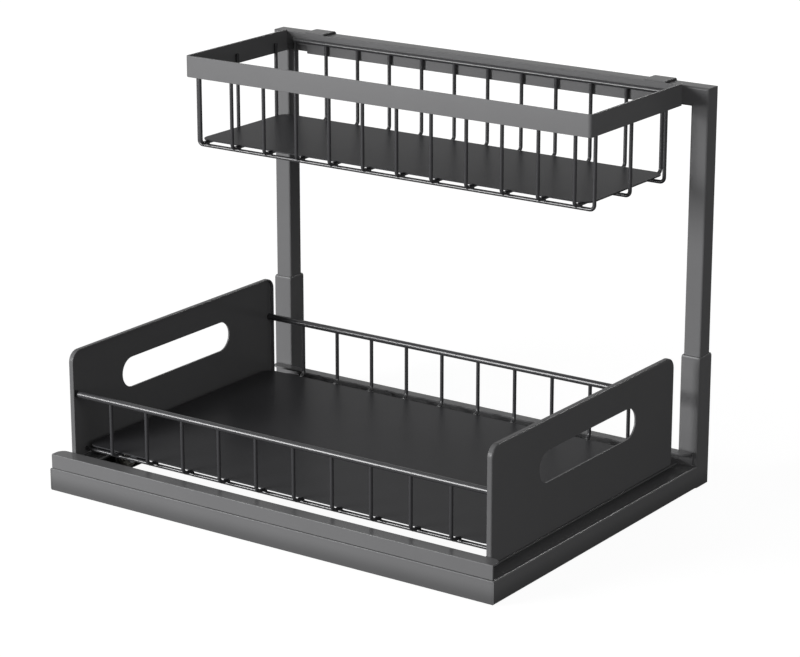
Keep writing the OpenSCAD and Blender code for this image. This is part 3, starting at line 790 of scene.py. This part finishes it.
# %% [markdown]
# The drawer has ten such wires between its two rails, the basket has twelve from its rim to its
# rear wire, and three long ones cross under those from side to side. The ends that meet a rail
# stop in its middle, as a welded butt joint looks from outside.
# %% Bend the wires of the drawer and the basket
TRAY_COUNT, TRAY_PITCH, TRAY_BEND = 10, 30.6, 4.6
tray_x = -TRAY_PITCH * (TRAY_COUNT - 1) / 2
drawer_wires = grown(
    "drawer_wires", wire_tree, Top_A=metres(tray_x, TRAY_FRONT_Y, FRONT_RAIL_Z),
    Foot_A=metres(tray_x, TRAY_FRONT_Y, TRAY_WIRE_Z),
    Foot_B=metres(tray_x, TRAY_REAR_Y, TRAY_WIRE_Z),
    Top_B=metres(tray_x, TRAY_REAR_Y, REAR_RAIL_Z), Bend_Radius=TRAY_BEND * MM,
    Wire_Radius=THIN_WIRE / 2 * MM, Count=TRAY_COUNT, Step=metres(TRAY_PITCH, 0, 0),
    Paint=FINISHES["wire_paint"])
place_piece(drawer_wires, "tray", "wire_paint",
            *[f"tray_wire_{i}" for i in range(1, TRAY_COUNT + 1)])

BASKET_COUNT, BASKET_PITCH, BASKET_BEND = 12, 27.6, 3.2
BASKET_X = -157.4
BASKET_FRONT_Y, BASKET_REAR_Y = 7.2, 117.0
WIRE_TOP, REAR_WIRE_Z, BASKET_WIRE_Z, LONG_WIRE_Z = 272.3, 273.4, 218.2, 215.6
basket_wires = grown(
    "basket_wires", wire_tree, Top_A=metres(BASKET_X, BASKET_FRONT_Y, WIRE_TOP),
    Foot_A=metres(BASKET_X, BASKET_FRONT_Y, BASKET_WIRE_Z),
    Foot_B=metres(BASKET_X, BASKET_REAR_Y, BASKET_WIRE_Z),
    Top_B=metres(BASKET_X, BASKET_REAR_Y, REAR_WIRE_Z), Bend_Radius=BASKET_BEND * MM,
    Wire_Radius=THIN_WIRE / 2 * MM, Count=BASKET_COUNT, Step=metres(BASKET_PITCH, 0, 0),
    Paint=FINISHES["wire_paint"])
place_piece(basket_wires, "basket", "wire_paint",
            *[f"basket_wire_{i}" for i in range(1, BASKET_COUNT + 1)])

LONG_LEFT, LONG_RIGHT = -164.9, 156.5
LONG_FRONT_Y, LONG_REAR_Y = 14.8, 103.9
long_wires = grown(
    "basket_long_wires", wire_tree, Top_A=metres(LONG_LEFT, LONG_FRONT_Y, WIRE_TOP),
    Foot_A=metres(LONG_LEFT, LONG_FRONT_Y, LONG_WIRE_Z),
    Foot_B=metres(LONG_RIGHT, LONG_FRONT_Y, LONG_WIRE_Z),
    Top_B=metres(LONG_RIGHT, LONG_FRONT_Y, WIRE_TOP), Bend_Radius=BASKET_BEND * MM,
    Wire_Radius=THIN_WIRE / 2 * MM, Count=3,
    Step=metres(0, (LONG_REAR_Y - LONG_FRONT_Y) / 2, 0), Paint=FINISHES["wire_paint"])
place_piece(long_wires, "basket", "wire_paint", "basket_long_wire_front",
            "basket_long_wire_middle", "basket_long_wire_rear")
rear_wire = round_bar("basket_top_wire", BASKET_X - THIN_WIRE / 2,
                      BASKET_X + (BASKET_COUNT - 1) * BASKET_PITCH + THIN_WIRE / 2,
                      BASKET_REAR_Y, REAR_WIRE_Z, TOP_WIRE)
place_piece(rear_wire, "basket", "wire_paint", "basket_rear_wire")

# %% [markdown]
# ## Weld nuggets
# Where two wires cross they are pressed together and spot-welded, and a little metal is squeezed
# out between them. A second small tree puts one flattened bead at each crossing of a grid.
# %% Build the weld tree and weld the crossings
BEAD_RADIUS, BEAD_FLATNESS = 1.5, 0.62
WELD_INPUTS = (("First", "Vector"), ("Count X", "Int"), ("Step X", "Vector"),
               ("Count Y", "Int"), ("Step Y", "Vector"), ("Bead Radius", "Float"),
               ("Paint", "Material"))
weld_tree, given = new_tree("Grid of weld nuggets", WELD_INPUTS)
first_row = add_node(weld_tree, "GeometryNodeMeshLine", Count=given["Count X"],
                     Start_Location=given["First"], Offset=given["Step X"])
columns = add_node(weld_tree, "GeometryNodeMeshLine", Count=given["Count Y"],
                   Offset=given["Step Y"])
grid = add_node(weld_tree, "GeometryNodeInstanceOnPoints", Points=first_row.outputs["Mesh"],
                Instance=columns.outputs["Mesh"])
spots = add_node(weld_tree, "GeometryNodeRealizeInstances", Geometry=grid.outputs["Instances"])
bead = add_node(weld_tree, "GeometryNodeMeshIcoSphere", Radius=given["Bead Radius"],
                Subdivisions=2)
beads = add_node(weld_tree, "GeometryNodeInstanceOnPoints", Points=spots.outputs["Geometry"],
                 Instance=bead.outputs["Mesh"], Scale=(1.0, 1.0, BEAD_FLATNESS))
solid = add_node(weld_tree, "GeometryNodeRealizeInstances", Geometry=beads.outputs["Instances"])
painted = add_node(weld_tree, "GeometryNodeSetMaterial", Geometry=solid.outputs["Geometry"],
                   Material=given["Paint"])
add_node(weld_tree, "NodeGroupOutput", Geometry=painted.outputs["Geometry"])

drawer_welds = grown(
    "drawer_welds", weld_tree,
    First=metres(tray_x, TRAY_FRONT_Y + FOOT_WIRE_IN, TRAY_WIRE_Z - THIN_WIRE / 2),
    Count_X=TRAY_COUNT, Step_X=metres(TRAY_PITCH, 0, 0), Count_Y=2,
    Step_Y=metres(0, TRAY_REAR_Y - TRAY_FRONT_Y - 2 * FOOT_WIRE_IN, 0),
    Bead_Radius=BEAD_RADIUS * MM,
    Paint=FINISHES["wire_paint"])
place_piece(drawer_welds, "tray", "wire_paint")
basket_welds = grown(
    "basket_welds", weld_tree,
    First=metres(BASKET_X, LONG_FRONT_Y, BASKET_WIRE_Z - THIN_WIRE / 2),
    Count_X=BASKET_COUNT, Step_X=metres(BASKET_PITCH, 0, 0), Count_Y=3,
    Step_Y=metres(0, (LONG_REAR_Y - LONG_FRONT_Y) / 2, 0), Bead_Radius=BEAD_RADIUS * MM,
    Paint=FINISHES["wire_paint"])
place_piece(basket_welds, "basket", "wire_paint")

# %% [markdown]
# ## Floor plates
# The two floors are thin sheets with round corners that lie on the wires. Their edges are only
# deburred, so a plate with a fine bevel is all they need.
# %% Cut the floor plates
FLOOR_RADIUS, FLOOR_CUT = 8.0, 0.25
FLOORS = (
    ("drawer_floor", "tray", "tray_floor"),
    ("basket_base", "basket", "basket_floor"),
)
for name, body, node in FLOORS:
    low, high = (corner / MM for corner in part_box(node))
    outline = rounded_loop(box_corners((low.x, low.y), (high.x, high.y)), [FLOOR_RADIUS] * 4, 10)
    place_piece(flat_plate(name, outline, low.z, high.z, across_z, FLOOR_CUT), body,
                "floor_paint", node)

# %% [markdown]
# ## Basket rim
# The rim is one flat band on edge, bent round the two front corners and open at the back. Seen
# from above it is a folded line, so the same helper makes it, with the band's height as the
# length across.
# %% Bend the rim
RIM_LEFT, RIM_RIGHT, RIM_FRONT, PLATE_REAR = -167.7, 159.3, 4.4, 119.8
RIM_BOTTOM, RIM_TOP, RIM_SHEET, RIM_RADIUS = 264.8, 279.8, 1.5, 2.6
rim_line = folded_line([(RIM_LEFT, PLATE_REAR), (RIM_LEFT, RIM_FRONT), (RIM_RIGHT, RIM_FRONT),
                        (RIM_RIGHT, PLATE_REAR)], RIM_RADIUS)
rim = folded_sheet("rim_band", rim_line, RIM_SHEET, (RIM_BOTTOM, RIM_TOP), across_z, edge=0.3)
place_piece(rim, "basket", "frame_paint", "basket_rim")

# %% [markdown]
# ## Hook plate
# The basket hangs by a plate along its back. Two tongues of the plate are folded back over the
# crossbar and down behind it. The plate is a cut outline, and each hook is a folded line that
# rises from the plate's front face and ends behind the crossbar.
# %% Cut the plate and fold its hooks
PLATE_FRONT = PLATE_REAR - 1.2
PLATE_TOP, PLATE_BOTTOM, PLATE_SHOULDER = 278.8, 264.4, 270.0
HOOK_TOP, HOOK_REAR, HOOK_FOOT, HOOK_HALF = 280.0, 134.8, 268.8, 8.0
HOOK_FOLD = 2.6
HOOKS = (-141.5, 139.0)
plate_ends = (RIM_LEFT + RIM_SHEET, RIM_RIGHT - RIM_SHEET)
low_ends = (-148.0, 151.0)
plate_outline = rounded_loop(
    [(low_ends[0], PLATE_BOTTOM), (low_ends[1], PLATE_BOTTOM), (low_ends[1], PLATE_SHOULDER),
     (plate_ends[1], PLATE_SHOULDER), (plate_ends[1], PLATE_TOP), (plate_ends[0], PLATE_TOP),
     (plate_ends[0], PLATE_SHOULDER), (low_ends[0], PLATE_SHOULDER)],
    [0.5, 0.5, 1.0, 0.5, 0.5, 0.5, 0.5, 1.0], 4)
plate = flat_plate("hook_strip", plate_outline, PLATE_FRONT, PLATE_REAR, across_y, 0.2)
hook_parts = [plate]
for word, middle in zip(("left", "right"), HOOKS):
    hook_line = folded_line([(HOOK_REAR, HOOK_FOOT), (HOOK_REAR, HOOK_TOP),
                             (PLATE_FRONT, HOOK_TOP)], HOOK_FOLD)
    hook_parts.append(folded_sheet(f"hook_{word}", hook_line, SHEET,
                                   (middle - HOOK_HALF, middle + HOOK_HALF), across_x, 0.2))
for part in hook_parts[1:]:
    place_piece(part, "basket", "frame_paint")
place_piece(plate, "basket", "frame_paint", "hook_plate")

# %% [markdown]
# ## Floor, backdrop and light
# The photograph is a studio shot on pure white. One soft lamp stands low on the left front: the
# shadow of the basket's rim on the right leg gives its height. So front faces are light, upper
# faces are dark but for what they mirror, and wires carry one bright line. A weak fill from the
# right reaches into the drawer. Two lamps stand behind. The lower one lights matt surfaces only,
# so that the back is not black. The upper one is seen only in gloss: it draws the thin bright
# line along the folds that face up and to the right.
# The floor is white to the camera but a plain grey to the light, so it throws little light
# back up at the object and still shows a faint contact shadow.
# %% Lay the floor
WHITE = (1.0, 1.0, 1.0, 1.0)
FLOOR_HALF, FLOOR_GAP = 6.0, 0.0002  # in metres; the gap keeps the floor clear of the pads
mesh = bpy.data.meshes.new("studio_floor")
mesh.from_pydata([(x, y, -FLOOR_GAP) for x, y in box_corners((-FLOOR_HALF, -FLOOR_HALF),
                                                          (FLOOR_HALF, FLOOR_HALF))],
                 [], [(0, 1, 2, 3)])
floor = bpy.data.objects.new("studio_floor", mesh)
scene.collection.objects.link(floor)


def by_ray(tree, eye, mirrored, other):
    """A strength: eye for camera rays, mirrored for mirror and glass rays, other for the rest."""
    path = add_node(tree, "ShaderNodeLightPath")
    mirror = add_node(tree, "ShaderNodeMath", {"operation": "MAXIMUM"},
                      n0=path.outputs["Is Glossy Ray"], n1=path.outputs["Is Transmission Ray"])
    unlit = add_node(tree, "ShaderNodeMix", {"data_type": "FLOAT"}, n0=mirror.outputs[0],
                     n2=other, n3=mirrored)
    return add_node(tree, "ShaderNodeMix", {"data_type": "FLOAT"},
                    n0=path.outputs["Is Camera Ray"], n2=unlit.outputs[0], n3=eye).outputs[0]


material, tree = empty_material("Studio floor")
shade = add_node(tree, "ShaderNodeBsdfDiffuse", Color=(0.14, 0.14, 0.14, 1.0))
spot = add_node(tree, "ShaderNodeTexCoord").outputs["Object"]
reach = add_node(tree, "ShaderNodeVectorMath", {"operation": "LENGTH"}, n0=spot)
# Near the object the lamp makes up the rest of the white; far away the floor is white itself
rise = add_node(tree, "ShaderNodeMapRange", Value=reach.outputs["Value"], From_Min=0.3,
                From_Max=1.6, To_Min=0.95, To_Max=1.0)
glow = add_node(tree, "ShaderNodeEmission", Color=WHITE,
                Strength=by_ray(tree, rise.outputs["Result"], 0.15, 0.0))
both = add_node(tree, "ShaderNodeAddShader", n0=shade.outputs[0], n1=glow.outputs[0])
add_node(tree, "ShaderNodeOutputMaterial", Surface=both.outputs[0])
mesh.materials.append(material)

# %% Light the studio
world = bpy.data.worlds.new("Studio")
scene.world = world
world.use_nodes = True
world.node_tree.nodes.clear()
tree = world.node_tree
sky = add_node(tree, "ShaderNodeBackground", Color=WHITE, Strength=by_ray(tree, 1.0, 0.7, 0.08))
add_node(tree, "ShaderNodeOutputWorld", Surface=sky.outputs[0])

LAMPS = (  # name, azimuth, elevation, distance in m, size in m, watts, matt light, gloss
    ("Key", -30, 10, 2.0, 1.0, 50, True, True),
    ("Fill", 60, 16, 1.6, 1.0, 4.8, True, True),
    ("Back", 190, 8, 1.8, 1.0, 10, True, False),
    ("Edge light", 170, 35, 1.6, 0.5, 9, False, True),
)
CENTRE = Vector((0, 0, 0.14))
for name, azimuth, elevation, distance, size, watts, matt, gloss in LAMPS:
    lamp = bpy.data.objects.new(name, bpy.data.lights.new(name, "AREA"))
    lamp.data.shape, lamp.data.size, lamp.data.energy = "DISK", size, watts
    back = away_from(math.radians(azimuth), math.radians(elevation))
    lamp.location = CENTRE + back * distance
    aim(lamp, -back)
    lamp.visible_diffuse, lamp.visible_glossy = matt, gloss
    scene.collection.objects.link(lamp)
    print(name, "lamp:", watts, "W at", tuple(round(c, 2) for c in lamp.location))
